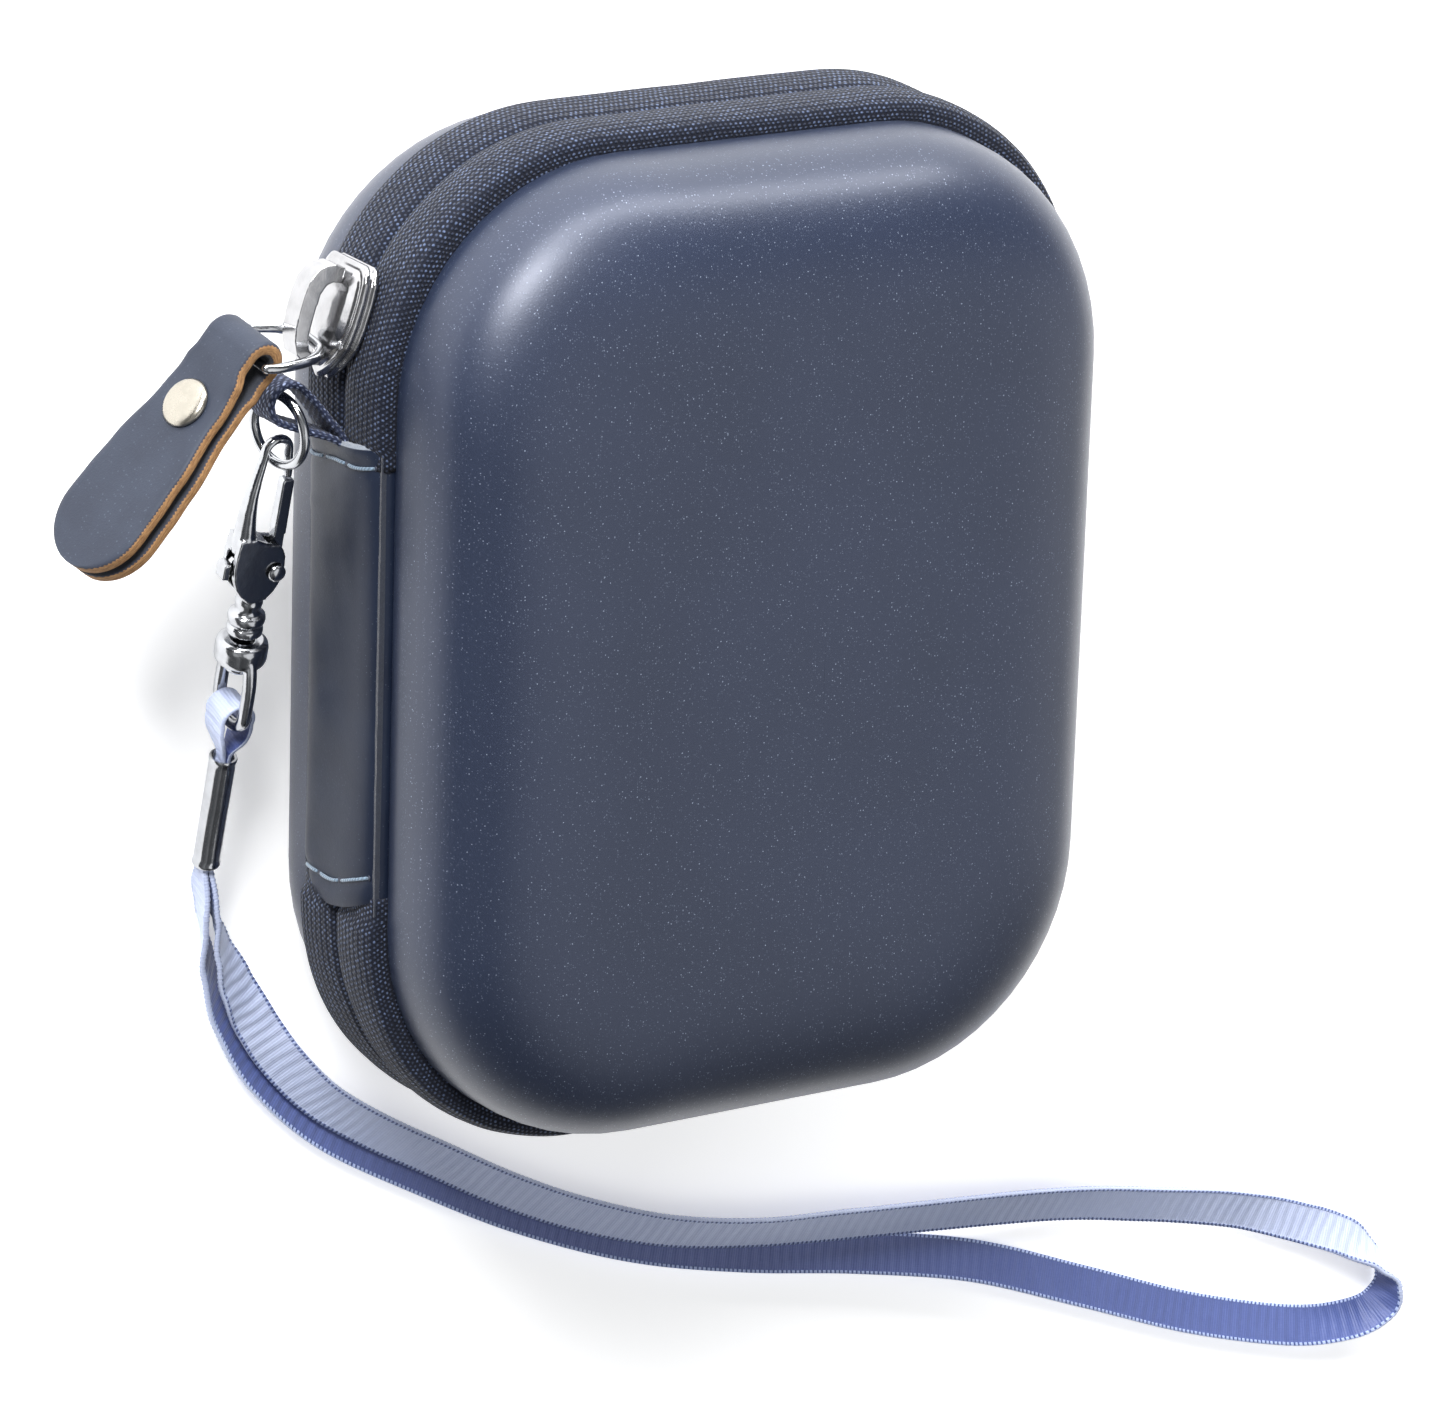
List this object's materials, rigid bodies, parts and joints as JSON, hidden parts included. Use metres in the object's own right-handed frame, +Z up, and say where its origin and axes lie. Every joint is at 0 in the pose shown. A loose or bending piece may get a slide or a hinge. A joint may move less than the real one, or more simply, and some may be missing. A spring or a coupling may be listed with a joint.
{
  "type": "wireless earbuds case",
  "caption": "Domed zippered hard case for earbuds, with a slider pull, a side webbing tab and a wrist strap on a trigger snap clasp.",
  "frame": {"origin": "centre of the flat back face, which the case lies on", "axes": "+X from the spine side to the opening side, +Y towards the top end of the case, where the slider is parked, +Z up out of the front dome"},
  "size_m": [0.1927, 0.1728, 0.047],
  "materials": {
    "shell_leather": "slate navy imitation leather with fine pale metallic specks",
    "spine_leather": "smooth navy imitation leather",
    "pull_leather": "matte navy leather with raw tan edges",
    "tape": "dark navy woven tape with pale specks",
    "lining": "dark brushed fabric",
    "mesh": "dark open net",
    "coil": "dark nylon coil",
    "nickel": "bright nickel plating",
    "rivet_metal": "warm pale nickel",
    "spring_steel": "drawn wire",
    "ribbon": "periwinkle satin ribbon"
  },
  "bodies": {
    "back_half": {"back_shell": "shell_leather", "back_lining": "lining", "back_zip_tape": "tape", "back_zip_coil": "coil", "back_binding": "lining", "spine_cover": "spine_leather", "spine_lining": "lining", "webbing_tab": "tape"},
    "front_half": {"front_shell": "shell_leather", "front_lining": "lining", "front_zip_tape": "tape", "front_zip_coil": "coil", "front_binding": "lining", "mesh_pocket": "mesh", "pocket_elastic": "lining"},
    "slider": {"slider_body": "nickel", "slider_bridge": "nickel"},
    "pull_link": {"pull_ring": "nickel"},
    "pull": {"pull_strap": "pull_leather", "rivet_cap": "rivet_metal", "rivet_post": "rivet_metal"},
    "side_ring": {"tab_ring": "nickel"},
    "clasp": {"clasp_body": "nickel", "gate_pin": "nickel", "gate_spring": "spring_steel", "wrist_strap": "ribbon"},
    "gate": {"clasp_gate": "nickel"},
    "swivel_end": {"swivel_eye": "nickel", "neck_loop": "ribbon", "ferrule": "nickel"}
  },
  "joints": [
    {"name": "lid_hinge", "type": "hinge", "parent": "back_half", "child": "front_half", "pos_m": [-0.0435, 0, 0.0315], "axis": [0, -1, 0], "range_deg": [0, 105]},
    {"name": "slider_travel", "type": "hinge", "parent": "back_half", "child": "slider", "pos_m": [-0.0168, 0.0293, 0.0235], "axis": [0, 0, -1], "range_deg": [0, 65]},
    {"name": "pull_ring_swing", "type": "hinge", "parent": "slider", "child": "pull_link", "pos_m": [-0.04731, 0.03526, 0.0235], "axis": [0.1401, -0.2201, 0.9654], "range_deg": [-25, 12]},
    {"name": "pull_strap_swing", "type": "hinge", "parent": "pull_link", "child": "pull", "pos_m": [-0.05611, 0.03549, 0.02483], "axis": [0.1401, -0.2201, 0.9654], "range_deg": [-80, 8]},
    {"name": "ring_swing", "type": "hinge", "parent": "back_half", "child": "side_ring", "pos_m": [-0.0503, 0.02939, 0.02349], "axis": [0, 0, -1], "range_deg": [0, 35]},
    {"name": "clasp_swing", "type": "hinge", "parent": "side_ring", "child": "clasp", "pos_m": [-0.0503, 0.022, 0.02133], "axis": [0, 0, -1], "range_deg": [-35, 0]},
    {"name": "gate_hinge", "type": "hinge", "parent": "clasp", "child": "gate", "pos_m": [-0.04861, 0.00931, 0.01744], "axis": [0.0044, -0.2928, 0.9562], "range_deg": [0, 9], "stiffness_Nm_per_rad": 0.02},
    {"name": "swivel", "type": "hinge", "parent": "clasp", "child": "swivel_end", "pos_m": [-0.05026, -0.00028, 0.01451], "axis": [-0.0145, 0.9561, 0.2928], "continuous": true}
  ],
  "couplings": [
    {"joint": "clasp_swing", "follows": "ring_swing", "ratio": -1}
  ]
}
